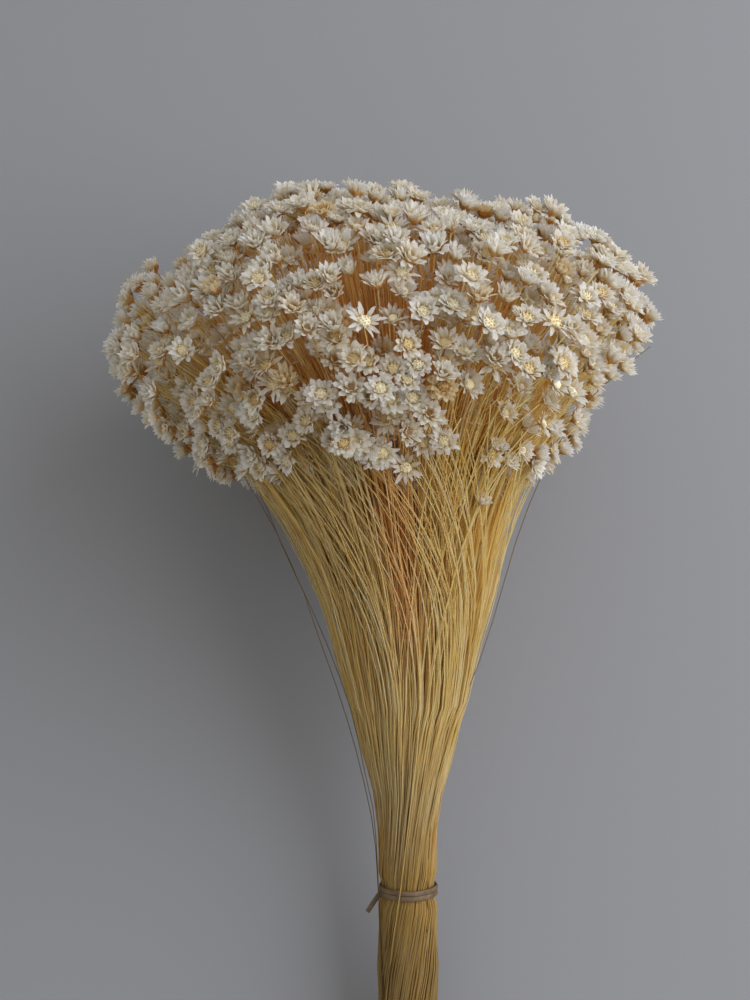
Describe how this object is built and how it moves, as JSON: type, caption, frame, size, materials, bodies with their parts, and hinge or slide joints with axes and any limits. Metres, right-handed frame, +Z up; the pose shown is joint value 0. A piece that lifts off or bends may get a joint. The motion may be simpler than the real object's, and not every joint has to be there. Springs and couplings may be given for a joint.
{
  "type": "dried flower bunch",
  "caption": "Tied bunch of dried star-shaped everlasting flowers: a wide dome of papery white heads on thin straw stems, held low down by a rubber band and lying on its side.",
  "frame": {"origin": "middle of the bounding box's footprint, on the surface the bunch lies on", "axes": "+Z up from the surface; the stems run along Y with the cut ends towards -Y and the heads towards +Y, rising 15 degrees; +X across the bunch"},
  "size_m": [0.2233, 0.3693, 0.2038],
  "materials": {
    "dried_flower": "dry, matt and papery",
    "natural_rubber": "satin"
  },
  "bodies": {
    "root": {"flower_spray_1": "dried_flower", "flower_spray_2": "dried_flower", "flower_spray_3": "dried_flower", "flower_spray_4": "dried_flower", "flower_spray_5": "dried_flower", "flower_spray_6": "dried_flower", "flower_spray_7": "dried_flower", "rubber_band": "natural_rubber"}
  },
  "joints": []
}
